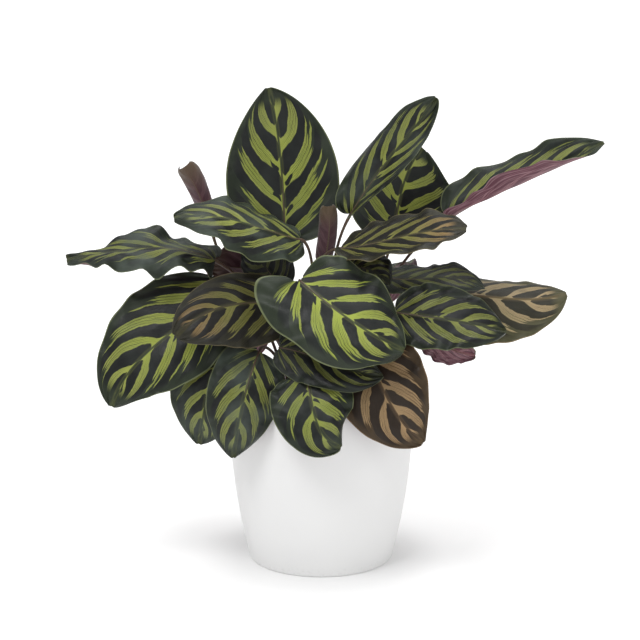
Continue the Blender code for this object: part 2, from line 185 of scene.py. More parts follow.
LEAVES = (
    Leaf("top", ((-31, 18, 280), (-33, 28, 322), (-37, 34, 366), (-45, 36, 409)),
         ((0.05, -1, 0.25), (0.05, -1, 0.1)), (50, 50), (-8, 12), (8, 10, 10, 10),
         (8, 10, 10, 10)),
    Leaf("upper_left", ((-18, -8, 285), (-50, -22, 298), (-85, -34, 310), (-124, -44, 312)),
         ((-0.1, -0.5, 0.85), (-0.1, -0.4, 0.9)), (34, 34), (-6, -4), (0, -40, -40, -10),
         (0, -20, -20, 10), arch=(0.5, 0.12)),
    Leaf("far_left", ((-90, -27, 271), (-133, -30, 283), (-173, -34, 281), (-215, -38, 274)),
         (0, -0.05, 1), (26, 30), (-28, 8), (-5, -50, -50, -10), (5, 10, 10, 10),
         ripple=(4, 2.0, 0), arch=(0.45, 0.2)),
    Leaf("left", ((-82, -28, 252), (-119, -44, 219), (-157, -54, 187), (-177, -56, 150)),
         (-0.35, -0.85, 0.35), (45, 49), (-30, -14), (5, -20, -20, -10), (5, -5, -5, 5),
         lobes=(0, 0), arch=(0.5, 0.1)),
    Leaf("bronze_left", ((-24, -30, 238), (-55, -48, 240), (-92, -74, 239), (-121, -84, 219)),
         (-0.1, -0.9, 0.4), (38, 27), (-14, -22), (0, -10, -10, -10), (0, -20, 0, 0),
         colour="bronze", tip=0.6),
    Leaf("low_left_outer", ((-84, -50, 198), (-94, -62, 172), (-99, -66, 148), (-103, -64, 120)),
         (-0.3, -0.95, 0.1), (33, 33), (-36, -18)),
    Leaf("low_left_inner", ((-52, -54, 199), (-60, -73, 181), (-68, -80, 151), (-74, -74, 111)),
         (-0.1, -0.98, 0.1), (32, 32), (-22, -28), (-20, 0, 0, 0)),
    Leaf("low_front", ((-17, -72, 187), (-9, -90, 170), (-3, -102, 149), (17, -106, 130)),
         ((-0.1, -0.98, 0.2), (0.0, -0.98, 0.1)), (36, 35), (-4, -38), (0, -30, -30, -30)),
    Leaf("shade_front", ((-35, -57, 203), (-4, -71, 198), (24, -80, 190), (52, -78, 184)),
         (0, -0.85, 0.5), (26, 26), (8, -26), meets=(-0.4, -0.7, 0.6)),
    Leaf("low_right", ((34, -52, 207), (46, -72, 184), (60, -84, 158), (86, -87, 128)),
         ((-0.25, -0.95, 0.15), (-0.1, -0.98, 0.1)), (40, 40), (18, -32), (5, -20, -20, 0),
         colour="bronze"),
    Leaf("front", ((-18, -55, 261), (6, -74, 245), (35, -90, 228), (69, -97, 211)),
         (0, -0.8, 0.6), (49, 46), (6, -22), (-5, -30, -15, 0), (5, 0, -30, -50),
         lobes=(0.3, 0.6), ripple=(5, 2.5, 0), meets=(0.1, -0.55, 0.85)),
    Leaf("upper_right", ((25, 0, 305), (50, -4, 344), (74, -8, 376), (98, -10, 408)),
         ((-0.1, -1, 0.2), (0.1, -1, 0.2)), (27, 20), (12, 6), (10, 10, -90, 10),
         (20, 140, 40, 10), tip=0.65),
    Leaf("behind_right", ((61, 30, 276), (67, 40, 305), (74, 46, 330), (88, 48, 354)),
         (0, -1, 0.15), (46, 48), (22, 22), (8, 10, 10, 10), (8, 10, 10, 10), tip=0.55),
    Leaf("far_right", ((111, 7, 301), (151, 4, 324), (196, 0, 345), (240, -2, 368)),
         ((0, -0.6, 0.8), (0, -0.7, 0.7)), (31, 24), (34, 14), (10, 0, -20, 0),
         (20, 160, 130, 40), ripple=(6, 1.5, 75)),
    Leaf("mid_right", ((17, -20, 280), (54, -34, 290), (89, -44, 300), (122, -50, 303)),
         (0, -0.4, 0.9), (28, 28), (6, -8), tip=0.5),
    Leaf("under_right", ((24, -20, 262), (38, -26, 264), (49, -32, 259), (58, -36, 252)),
         (0, -0.6, 0.8), (20, 20), (12, -14)),
    Leaf("dark_right", ((54, -14, 254), (83, -22, 254), (113, -28, 256), (138, -32, 247)),
         (0, -0.35, 0.9), (26, 26), (26, -8), (0, -20, -20, 0)),
    Leaf("green_right", ((62, -55, 233), (95, -69, 232), (126, -78, 229), (154, -80, 223)),
         (0, -0.8, 0.6), (30, 30), (30, -18)),
    Leaf("bronze_right", ((101, 0, 235), (138, -6, 235), (174, -10, 233), (210, -12, 239)),
         (0, -0.8, 0.6), (42, 42), (34, -4), (-25, -40, -40, -20), (0, -10, -10, -10),
         colour="bronze"),
    Leaf("pink_right", ((84, -30, 207), (101, -36, 200), (116, -40, 195), (131, -42, 192)),
         (0, 0.85, 0.5), (22, 24), (36, -14)),
    Leaf("young_left", ((-93, 20, 282), (-101, 20, 309), (-108, 18, 326), (-118, 16, 343)),
         (0, 0.9, 0.3), (23, 23), (-24, 14), (5, 60, 150, 120), (5, 60, 120, 100), tip=0.2),
    Leaf("young_centre", ((2, -6, 263), (6, -7, 283), (7, -7, 298), (6, -7, 314)), (0, 0.9, 0.3),
         (21, 21), (4, 4), (5, 60, 150, 120), (5, 60, 120, 100), tip=0.3),
    Leaf("shade_left", ((-44, 2, 250), (-63, -2, 258), (-82, -6, 261), (-98, -8, 261)),
         (0, 0.9, 0.3), (25, 25), (-14, -2)),
    Leaf("shade_centre", ((-38, -14, 245), (-46, -20, 262), (-56, -24, 274), (-66, -26, 283)),
         (0, -0.8, 0.5), (25, 25), (-10, -12)),
    Leaf("back_middle", ((28, 50, 232), (38, 80, 234), (46, 108, 218), (48, 126, 188)),
         ((0, 0.5, 0.85), (0, 0.95, 0.3)), (46, 46), (2, 30)),
    Leaf("back_left", ((-48, 42, 230), (-72, 70, 234), (-94, 96, 222), (-108, 114, 194)),
         ((-0.4, 0.3, 0.85), (-0.6, 0.75, 0.3)), (42, 42), (-24, 28)),
    Leaf("back_right", ((62, 32, 232), (90, 52, 236), (118, 70, 226), (136, 84, 200)),
         ((0.4, 0.3, 0.85), (0.6, 0.75, 0.3)), (42, 42), (26, 30), colour="bronze"),
    Leaf("back_low_left", ((-46, 62, 206), (-62, 88, 194), (-72, 102, 168), (-78, 106, 134)),
         ((-0.3, 0.7, 0.6), (-0.4, 0.9, 0.1)), (37, 37), (-14, 38)),
    Leaf("back_low_middle", ((12, 68, 204), (14, 92, 192), (12, 106, 164), (8, 110, 128)),
         ((0.0, 0.7, 0.6), (0.0, 0.95, 0.1)), (37, 37), (14, 40)),
)


# ---- Node trees ----


class Value:
    """A number field in a node tree. Arithmetic on it adds Math nodes to the same tree."""

    def __init__(self, tree, socket):
        self.tree = tree
        self.socket = socket

    def math(self, operation, *others):
        node = self.tree.nodes.new("ShaderNodeMath")
        node.operation = operation
        feed(self.tree, node.inputs[0], self)
        for place, other in enumerate(others, start=1):
            feed(self.tree, node.inputs[place], other)
        return Value(self.tree, node.outputs[0])

    def __rsub__(self, other):
        return self.math("MULTIPLY", -1.0).math("ADD", other)

    def __rtruediv__(self, other):
        return self.math("POWER", -1.0) * other

    def rises(self, start, end):
        """0 up to start, 1 from end on, and a smooth step between."""
        node = self.tree.nodes.new("ShaderNodeMapRange")
        node.interpolation_type = "SMOOTHSTEP"
        feed(self.tree, node.inputs["Value"], self)
        feed(self.tree, node.inputs["From Min"], start)
        feed(self.tree, node.inputs["From Max"], end)
        return Value(self.tree, node.outputs["Result"])

    def pick(self, low, high):
        """low where this is 0, high where it is 1."""
        return low + (high - low) * self


def math_method(operation):
    return lambda self, *others: self.math(operation, *others)


for title, operation in {
        "__add__": "ADD", "__radd__": "ADD", "__mul__": "MULTIPLY", "__rmul__": "MULTIPLY",
        "__sub__": "SUBTRACT", "__truediv__": "DIVIDE", "__pow__": "POWER", "fract": "FRACT",
        "floor": "FLOOR", "size": "ABSOLUTE", "sin": "SINE", "cos": "COSINE",
        "least": "MINIMUM", "most": "MAXIMUM", "above": "GREATER_THAN"}.items():
    setattr(Value, title, math_method(operation))


class Arrow:
    """A vector field in a node tree."""

    def __init__(self, tree, socket):
        self.tree = tree
        self.socket = socket

    def math(self, operation, *others, scale=None):
        node = self.tree.nodes.new("ShaderNodeVectorMath")
        node.operation = operation
        feed(self.tree, node.inputs[0], self)
        for place, other in enumerate(others, start=1):
            feed(self.tree, node.inputs[place], other)
        if scale is not None:
            feed(self.tree, node.inputs["Scale"], scale)
        out = "Value" if operation in ("DOT_PRODUCT", "LENGTH") else "Vector"
        kind = Value if out == "Value" else Arrow
        return kind(self.tree, node.outputs[out])

    def __mul__(self, other):
        return self.math("SCALE", scale=other)

    def parts(self):
        node = self.tree.nodes.new("ShaderNodeSeparateXYZ")
        feed(self.tree, node.inputs[0], self)
        return [Value(self.tree, socket) for socket in node.outputs]


for title, operation in {"__add__": "ADD", "__sub__": "SUBTRACT", "dot": "DOT_PRODUCT",
                         "cross": "CROSS_PRODUCT", "unit": "NORMALIZE"}.items():
    setattr(Arrow, title, math_method(operation))


def feed(tree, socket, value):
    """Links a field or an output into a socket, or sets the socket to a plain value."""
    if isinstance(value, (Value, Arrow)):
        tree.links.new(value.socket, socket)
    elif isinstance(value, bpy.types.NodeSocket):
        tree.links.new(value, socket)
    elif value is not None:
        socket.default_value = value


def arrow(tree, x, y, z):
    node = tree.nodes.new("ShaderNodeCombineXYZ")
    for socket, value in zip(node.inputs, (x, y, z)):
        feed(tree, socket, value)
    return Arrow(tree, node.outputs[0])


def noise(tree, place, scale, detail=2.0):
    """Smooth noise from 0 to 1 at a vector field."""
    node = tree.nodes.new("ShaderNodeTexNoise")
    feed(tree, node.inputs["Vector"], place)
    node.inputs["Scale"].default_value = scale
    node.inputs["Detail"].default_value = detail
    return Value(tree, node.outputs[0])


def chance(tree, number):
    """A fixed random number from 0 to 1 for each whole number."""
    node = tree.nodes.new("ShaderNodeTexWhiteNoise")
    node.noise_dimensions = "1D"
    feed(tree, node.inputs["W"], number)
    return Value(tree, node.outputs["Value"])


def curve_values(tree, curve, factor, looks):
    """Place, direction and looking direction at a fraction of a curve's length."""
    node = tree.nodes.new("GeometryNodeSampleCurve")
    node.mode = "FACTOR"
    node.use_all_curves = False
    node.data_type = "FLOAT_VECTOR"
    tree.links.new(curve, node.inputs["Curves"])
    feed(tree, node.inputs["Value"], looks)
    feed(tree, node.inputs["Factor"], factor)
    return [Arrow(tree, node.outputs[name]) for name in ("Position", "Tangent", "Value")]


def named(tree, kind, name):
    """An attribute of the geometry, read as a field."""
    node = tree.nodes.new("GeometryNodeInputNamedAttribute")
    node.data_type = kind
    node.inputs["Name"].default_value = name
    return (Arrow if kind == "FLOAT_VECTOR" else Value)(tree, node.outputs["Attribute"])


def store(tree, geometry, kind, domain, name, value):
    node = tree.nodes.new("GeometryNodeStoreNamedAttribute")
    node.data_type = kind
    node.domain = domain
    node.inputs["Name"].default_value = name
    tree.links.new(geometry, node.inputs["Geometry"])
    feed(tree, node.inputs["Value"], value)
    return node.outputs["Geometry"]


def geometry_tree(name, sizes):
    """A geometry node tree with a guide input and one named number input for each size."""
    tree = bpy.data.node_groups.new(name, "GeometryNodeTree")
    tree.interface.new_socket("Geometry", in_out="INPUT", socket_type="NodeSocketGeometry")
    for size, value in sizes.items():
        kind = "NodeSocketInt" if isinstance(value, int) else "NodeSocketFloat"
        socket = tree.interface.new_socket(size, in_out="INPUT", socket_type=kind)
        socket.default_value = value
    tree.interface.new_socket("Geometry", in_out="OUTPUT", socket_type="NodeSocketGeometry")
    inward = tree.nodes.new("NodeGroupInput")
    fields = {size: Value(tree, inward.outputs[size]) for size in sizes}
    return tree, inward.outputs["Geometry"], fields


def link(tree, kind, geometry=None, out=0, **values):
    """Adds a geometry node, fed by its first input and its named ones, and returns an output."""
    node = tree.nodes.new("GeometryNode" + kind)
    feed(tree, node.inputs[0], geometry)
    for name, value in values.items():
        feed(tree, node.inputs[name.replace("_", " ")], value)
    return node.outputs[out]


def end_tree(tree, geometry, finish, other=None, where=""):
    """Realises the instances, sets the material, and another where an attribute says so."""
    real = link(tree, "RealizeInstances", geometry)
    dressed = link(tree, "SetMaterial", real, Material=finish)
    if other is not None:
        dressed = link(tree, "SetMaterial", dressed, Selection=named(tree, "BOOLEAN", where),
                       Material=other)
    tree.links.new(dressed, tree.nodes.new("NodeGroupOutput").inputs[0])


def grown(tree, guide, name, sizes):
    """The plain mesh that a tree makes from a guide mesh with these sizes."""
    source = bpy.data.objects.new(name + "_guide", guide)
    bpy.context.scene.collection.objects.link(source)
    modifier = source.modifiers.new("shape", "NODES")
    modifier.node_group = tree
    identifiers = {item.name: item.identifier for item in tree.interface.items_tree
                   if item.in_out == "INPUT"}
    for size, value in sizes.items():
        modifier[identifiers[size]] = value
    graph = bpy.context.evaluated_depsgraph_get()
    mesh = bpy.data.meshes.new_from_object(source.evaluated_get(graph), depsgraph=graph)
    source.modifiers.clear()
    bpy.data.objects.remove(source)
    mesh.name = name
    return mesh


def add_piece(name, mesh, node):
    """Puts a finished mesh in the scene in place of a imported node."""
    piece = bpy.data.objects.new(name, mesh)
    bpy.context.scene.collection.objects.link(piece)
    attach(piece, "root")
    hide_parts(node)
    return piece


# ---- Leaf shape ----


def side_veins(across, along, shift, stripes):
    """How far out a point lies, where its side vein left the midrib, and the vein's number."""
    outward = across.size()
    right = across.above(0.0)
    start = along - outward * VEIN_SLANT - outward * outward * VEIN_BEND
    return outward, right, start, start * stripes + right * SIDE_STAGGER + shift


def blend(three, along):
    """A number given at the base, the middle and the tip."""
    base, middle, tip = three
    rest = 1.0 - along
    return (base * rest * (1.0 - along * 2.0) + middle * along * rest * 4.0
            + tip * along * (along * 2.0 - 1.0))


def blade_grid(tree, size):
    """A grid that holds how far across and along the blade each point lies."""
    grid = link(tree, "MeshGrid", 2.0, Size_Y=1.0, Vertices_X=size["Columns"],
                Vertices_Y=size["Rows"])
    spot = Arrow(tree, tree.nodes.new("GeometryNodeInputPosition").outputs[0]).parts()
    step = 0.5 - (spot[1] + 0.5).math("MULTIPLY", math.pi).cos() * 0.5
    surface = store(tree, grid, "FLOAT", "POINT", "across", spot[0])
    surface = store(tree, surface, "FLOAT", "POINT", "along",
                    step * (BLADE_END - BLADE_START) + BLADE_START)
    across, along = named(tree, "FLOAT", "across"), named(tree, "FLOAT", "along")
    surface = store(tree, surface, "FLOAT2", "CORNER", "leaf",
                    arrow(tree, across * 0.5 + 0.5, along, 0.0))
    return surface, across, along


def blade_section(size, along, outward, right, half):
    """How far out and up a point lies on the arc of the blade's cross section."""
    lift = right.pick(size["Lift left"], size["Lift right"])
    sides = [[size[f"Curl {side} {where}"] for where in ("base", "middle", "tip")]
             for side in ("left", "right")]
    curl = right.pick(blend(sides[0], along), blend(sides[1], along))
    curl = curl + (1.0 - curl.size().above(LEAST_CURL)) * LEAST_CURL
    bent = lift + curl * outward
    return half * (bent.sin() - lift.sin()) / curl, half * (lift.cos() - bent.cos()) / curl


def waved(tree, size, rise, place, outline):
    """The height of the cross section with the ripple, the slow folds and the margin's crimps."""
    across, along, outward, right = place
    wave = size["Ripple waves"] * along * math.tau + size["Ripple phase"] + right * 2.0 - 1.0
    rise = rise + size["Ripple height"] * outward * outward * wave.sin()
    spot = arrow(tree, across * 1.3, along * 3.2, size["Stripe shift"] * 31.0)
    fold = noise(tree, spot, 1.0, 1.0)
    crimp = (along * size["Crimp waves"] * math.tau + fold * 9.0 + right * 2.0).sin()
    rise = rise + (fold - 0.5) * size["Fold height"] * outward * 2.0
    return rise + crimp * size["Crimp height"] * outward ** 4.0 * outline


def blade_relief(size, along, outward, vein, from_rib):
    """The swelling between the side veins and the groove over the midrib."""
    hollow = (vein.fract() * math.pi).sin() * outward.rises(0.04, 0.3) * outward.rises(1.0, 0.8)
    groove = from_rib.rises(RIB_HALF_WIDTH * 2.2, 0.0) * (1.0 - along)
    return size["Quilt"] * hollow - size["Groove"] * groove - size["Thickness"] * 0.5


def end_blade(tree, surface, thickness, upper, under):
    """Thickens the surface upwards and closes the tree."""
    thick = tree.nodes.new("GeometryNodeExtrudeMesh")
    thick.mode = "FACES"
    thick.inputs["Individual"].default_value = False
    tree.links.new(surface, thick.inputs["Mesh"])
    feed(tree, thick.inputs["Offset Scale"], thickness)
    below = store(tree, link(tree, "FlipFaces", surface), "BOOLEAN", "FACE", "underside", True)
    joined = tree.nodes.new("GeometryNodeJoinGeometry")
    for shell in (below, thick.outputs["Mesh"]):
        tree.links.new(shell, joined.inputs[0])
    welded = link(tree, "MergeByDistance", joined.outputs[0], Distance=MERGE_DISTANCE)
    end_tree(tree, link(tree, "SetShadeSmooth", welded), upper, under, "underside")


def blade_tree(upper, under):
    """The leaf blade: a grid laid along the midrib, quilted along its side veins, and thick.

    Its inputs start at the sizes of the first leaf, and each leaf sets its own.
    """
    tree, guide, size = geometry_tree("leaf blade", blade_sizes(0, LEAVES[0]))
    curve = link(tree, "MeshToCurve", guide)
    surface, across, along = blade_grid(tree, size)
    outward, right, _, vein = side_veins(across, along, size["Stripe shift"], size["Stripes"])
    tip = size["Tip power"]
    widest = BASE_POWER / (tip + BASE_POWER)
    outline = (along / widest) ** BASE_POWER * ((1.0 - along) / (1.0 - widest)) ** tip
    lobe = right.pick(size["Lobe left"], size["Lobe right"])
    behind = lobe * outline * outward ** 3.0 * (1.0 - along) ** 3.0 * size["Length"]
    spine, tangent, looks = curve_values(tree, curve, along, named(tree, "FLOAT_VECTOR", "looks"))
    upward = (looks - tangent * looks.dot(tangent)).unit()
    sideways = tangent.cross(upward)
    half = right.pick(size["Reach left"], size["Reach right"]) * outline
    out, rise = blade_section(size, along, outward, right, half)
    rise = waved(tree, size, rise, (across, along, outward, right), outline)
    from_rib = half * outward
    relief = blade_relief(size, along, outward, vein, from_rib)
    for name, value in (("from_rib", from_rib), ("stripe_shift", size["Stripe shift"]),
                        ("shade", size["Shade"]), ("stripes", size["Stripes"]),
                        ("bloom", size["Painted sheen"]), ("glow", size["Glow"])):
        surface = store(tree, surface, "FLOAT", "POINT", name, value)
    place = (spine - tangent * behind + sideways * ((right * 2.0 - 1.0) * out)
             + upward * (rise + relief))
    surface = link(tree, "SetPosition", surface, Position=place)
    end_blade(tree, surface, size["Thickness"], upper, under)
    return tree


def midrib_line(leaf):
    """Points on the cubic through the four midrib points, and where the blade looks at each."""
    knots = np.array(leaf.midrib, float)
    chords = np.linalg.norm(np.diff(knots, axis=0), axis=1)
    at = np.concatenate([[0], np.cumsum(chords)]) / chords.sum()
    cubic = np.linalg.solve(np.vander(at, 4, increasing=True), knots)
    t = np.linspace(0, 1, MIDRIB_STEPS + 1)
    line = np.vander(t, 4, increasing=True) @ cubic
    base_looks, tip_looks = np.broadcast_to(np.array(leaf.faces, float), (2, 3))
    return line, np.outer(1 - t, base_looks) + np.outer(t, tip_looks)


def guide_mesh(name, line, **attributes):
    """A chain of edges through the points of a line, with a value at each point."""
    mesh = bpy.data.meshes.new(name)
    mesh.from_pydata((line * MM).tolist(), [(i, i + 1) for i in range(len(line) - 1)], [])
    for title, values in attributes.items():
        kind = "FLOAT_VECTOR" if values.ndim == 2 else "FLOAT"
        field = "vector" if values.ndim == 2 else "value"
        attribute = mesh.attributes.new(title, kind, "POINT")
        attribute.data.foreach_set(field, values.astype(np.float32).ravel())
    return mesh


def line_length(line):
    return float(np.linalg.norm(np.diff(line, axis=0), axis=1).sum())


def look_of(leaf):
    return {"skin": leaf.colour, **USUAL_LOOK, **LOOKS.get(leaf.name, {})}


def blade_sizes(number, leaf):
    line, _ = midrib_line(leaf)
    angles = {}
    for side, values in (("left", leaf.left), ("right", leaf.right)):
        lift, base, middle, tip = (math.radians(value) for value in values)
        angles.update({f"Lift {side}": lift, f"Curl {side} base": base,
                       f"Curl {side} middle": middle, f"Curl {side} tip": tip})
    rows, columns = ((BLADE_ROWS, BLADE_COLUMNS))
    height, waves, phase = leaf.ripple
    look = look_of(leaf)
    return {
        "Rows": rows + 1, "Columns": columns + 1, **angles,
        "Reach left": leaf.reach[0] * MM, "Reach right": leaf.reach[1] * MM,
        "Lobe left": float(leaf.lobes[0]), "Lobe right": float(leaf.lobes[1]),
        "Ripple height": height * MM, "Ripple waves": float(waves),
        "Ripple phase": math.radians(phase), "Tip power": float(leaf.tip),
        "Length": line_length(line) * MM, "Stripe shift": number * SHIFT_STEP % 1.0,
        "Stripes": look["stripes"], "Shade": look["shade"], "Painted sheen": look["bloom"],
        "Glow": look["glow"], "Fold height": FOLD_HEIGHT * look["folds"],
        "Crimp height": CRIMP_HEIGHT * look["folds"], "Crimp waves": CRIMP_WAVES,
        "Thickness": BLADE_THICKNESS, "Quilt": QUILT, "Groove": MIDRIB_GROOVE,
    }


# ---- Stalk shape ----


def stalk_line(leaf):
    """The stalk from its foot in the soil to the blade, then the midrib under the blade.

    Returns the points and, at each, how far along the midrib it lies: 0 on the stalk.
    """
    line, looks = midrib_line(leaf)
    heading = np.array(leaf.meets, float) if leaf.meets else line[1] - line[0]
    heading /= np.linalg.norm(heading)
    end = line[0]
    ground = np.array([*leaf.root, (SOIL_TOP + SOIL_CROWN) / MM], float)
    gap_end = end - heading * BLADE_GAP
    span = np.linalg.norm(gap_end - ground)
    rise = ground + np.array([0, 0, span * leaf.arch[0]])
    arrive = gap_end - heading * span * leaf.arch[1]
    t = np.linspace(0, 1, STALK_STEPS + 1)[:, None]
    arc = (ground * (1 - t) ** 3 + 3 * rise * t * (1 - t) ** 2
           + 3 * arrive * t ** 2 * (1 - t) + gap_end * t ** 3)
    foot = ground - np.array([0, 0, ROOTING_DEPTH - FIT_GAP])
    tangents = np.gradient(line, axis=0)
    tangents /= np.linalg.norm(tangents, axis=1, keepdims=True)
    upward = looks - tangents * (looks * tangents).sum(1, keepdims=True)
    upward /= np.linalg.norm(upward, axis=1, keepdims=True)
    part = np.linspace(0, 1, len(line))
    shown = (part > 0.02) & (part < RIB_END)
    under = line[shown] - upward[shown] * RIB_DEPTH
    return np.vstack([foot, arc, under]), np.concatenate([np.zeros(len(arc) + 1), part[shown]])


STALK_SIZES = {"Radius": STALK_RADIUS * MM, "Sides": STALK_SIDES, "Foot swelling": 0.35,
               "Knuckle swelling": 0.22, "Knuckle place": 0.6, "Midrib radius": 0.00075}


def stalk_tree(finish):
    """A round stalk, thicker at the soil and at its knuckle, that thins out as the midrib."""
    tree, guide, size = geometry_tree("stalk", STALK_SIZES)
    curve = link(tree, "MeshToCurve", guide)
    part = Value(tree, tree.nodes.new("GeometryNodeSplineParameter").outputs["Factor"])
    curve = store(tree, curve, "FLOAT", "POINT", "along", part)
    along, rib = named(tree, "FLOAT", "along"), named(tree, "FLOAT", "rib")
    foot = along.rises(0.14, 0.0) * size["Foot swelling"]
    near = (along - size["Knuckle place"]).size().rises(0.05, 0.0) * size["Knuckle swelling"]
    stalk = size["Radius"] * (1.0 + foot + near) * along.rises(1.3, -0.2).pick(0.75, 1.0)
    thin = size["Midrib radius"] * (1.0 - rib)
    radius = rib.above(0.0001).pick(stalk, thin)
    ring = link(tree, "CurvePrimitiveCircle", size["Sides"], Radius=1.0)
    thick = link(tree, "SetCurveRadius", curve, Radius=radius)
    tube = link(tree, "CurveToMesh", thick, Profile_Curve=ring, Fill_Caps=True,
                Scale=named(tree, "FLOAT", "radius"))
    end_tree(tree, link(tree, "SetShadeSmooth", tube), finish)
    return tree


# ---- Pot and soil shape ----


def pot_radius(z):
    return RIM_RADIUS - POT_TAPER * (1 - min(z / POT_HEIGHT, 1)) ** SIDE_SWELL


def turned(name, profile, sides):
    """The solid that a half section sweeps in one turn round the Z axis."""
    shape = bmesh.new()
    points = [shape.verts.new((radius, 0, z)) for radius, z in profile]
    edges = [shape.edges.new(pair) for pair in zip(points, points[1:])]
    bmesh.ops.spin(shape, geom=points + edges, cent=(0, 0, 0), axis=(0, 0, 1),
                   angle=math.tau, steps=sides)
    bmesh.ops.remove_doubles(shape, verts=shape.verts, dist=1e-6)
    bmesh.ops.recalc_face_normals(shape, faces=shape.faces)
    mesh = bpy.data.meshes.new(name)
    shape.to_mesh(mesh)
    shape.free()
    mesh.shade_smooth()
    return mesh


def arc_points(centre, radius, start, end, steps):
    angles = np.radians(np.linspace(start, end, steps))
    return [(centre[0] + radius * math.cos(a), centre[1] + radius * math.sin(a)) for a in angles]


def pot_profile():
    """From the middle of the underside, round the foot and the rolled rim, down to the floor."""
    low, top = FOOT_ROUNDING, POT_HEIGHT - RIM_ROUNDING
    foot = arc_points((pot_radius(low) - low, low), low, -90, 0, 9)
    outside = [(pot_radius(z), z) for z in np.linspace(low, top, 40)][1:]
    rim = arc_points((pot_radius(top) - RIM_ROUNDING, top), RIM_ROUNDING, 0, 180, 15)[1:]
    inside = [(pot_radius(z) - WALL, z) for z in np.linspace(top, FLOOR + low, 30)][1:]
    corner = pot_radius(FLOOR + low) - WALL
    bend = arc_points((corner - low, FLOOR + low), low, 0, -90, 7)[1:]
    return [(0, 0), *foot, *outside, *rim, *inside, *bend, (0, FLOOR)]


def soil_profile():
    bottom = FLOOR + FIT_GAP * MM
    heights = np.linspace(bottom + 0.003, SOIL_TOP, 12)
    side = [(pot_radius(z) - WALL - 2 * FIT_GAP * MM, z) for z in heights]
    edge = side[-1][0]
    crown = [(edge * part, SOIL_TOP + SOIL_CROWN * (1 - part ** 2))
             for part in np.linspace(0.97, 0.03, 34)]
    return [(0, bottom), (side[0][0] - 0.003, bottom), *side, *crown, (0, SOIL_TOP + SOIL_CROWN)]


SOIL_SIZES = {"Crumbs per square metre": 150000.0, "Smallest": 0.0005, "Largest": 0.0021,
              "Roughness height": 0.0016, "Seed": 7}


def scattered(tree, surface, inside, size, number):
    """Crumbs of the mix on part of a surface: number 0 is earth, 1 the rarer white perlite."""
    part, grow = CRUMB_KINDS[number]
    points = link(tree, "DistributePointsOnFaces", surface, Selection=inside,
                  Density=size["Crumbs per square metre"] * part,
                  Seed=size["Seed"] + float(number))
    crumb = link(tree, "MeshIcoSphere", 1.0, Subdivisions=1)
    crumb = store(tree, crumb, "BOOLEAN", "FACE", "white", number == 1)
    turn = random_value(tree, "FLOAT_VECTOR", (0, 0, 0), (math.tau,) * 3, 11 + number)
    spread = random_value(tree, "FLOAT_VECTOR", (0.55, 0.55, 0.45), (1, 1, 0.8), 21 + number)
    scale = random_value(tree, "FLOAT", 0.0, 1.0, 31 + number)
    grain = (scale ** 2.5).pick(size["Smallest"], size["Largest"]) * grow
    return link(tree, "InstanceOnPoints", points, Instance=crumb, Rotation=turn,
                Scale=spread * grain)


def soil_tree(earth, perlite):
    """An uneven bed with crumbs of several sizes, and a few white perlite grains, over its top."""
    tree, bed, size = geometry_tree("potting soil", SOIL_SIZES)
    place = Arrow(tree, tree.nodes.new("GeometryNodeInputPosition").outputs[0])
    x, y, height = place.parts()
    top = height.rises(SOIL_TOP - 0.002, SOIL_TOP + 0.0005)
    bump = (noise(tree, place, 160.0, 4.0) - 0.6) * size["Roughness height"] * top
    uneven = link(tree, "SetPosition", bed, Offset=arrow(tree, 0.0, 0.0, bump))
    from_axis = arrow(tree, x, y, 0.0).math("LENGTH")
    inside = 1.0 - from_axis.above(RIM_RADIUS - WALL - CRUMB_MARGIN)
    inside = height.above(SOIL_TOP - 0.001) * inside
    crumbs = [scattered(tree, uneven, inside, size, number) for number in (0, 1)]
    joined = tree.nodes.new("GeometryNodeJoinGeometry")
    for part in (crumbs[1], crumbs[0], uneven):
        tree.links.new(part, joined.inputs[0])
    end_tree(tree, joined.outputs[0], earth, perlite, "white")
    return tree


def random_value(tree, kind, low, high, seed):
    node = tree.nodes.new("FunctionNodeRandomValue")
    node.data_type = kind
    node.inputs["Seed"].default_value = seed
    for name, value in (("Min", low), ("Max", high)):
        socket = [s for s in node.inputs if s.name == name and s.enabled][0]
        socket.default_value = value
    out = [s for s in node.outputs if s.enabled][0]
    return (Arrow if kind == "FLOAT_VECTOR" else Value)(tree, out)


# ---- Materials ----


def linear(red, green, blue):
    """A colour given as it looks on a screen, 0 to 255, as the shader takes it."""
    def one(part):
        part = part / 255
        return part / 12.92 if part <= 0.04045 else ((part + 0.055) / 1.055) ** 2.4
    return (one(red), one(green), one(blue), 1.0)


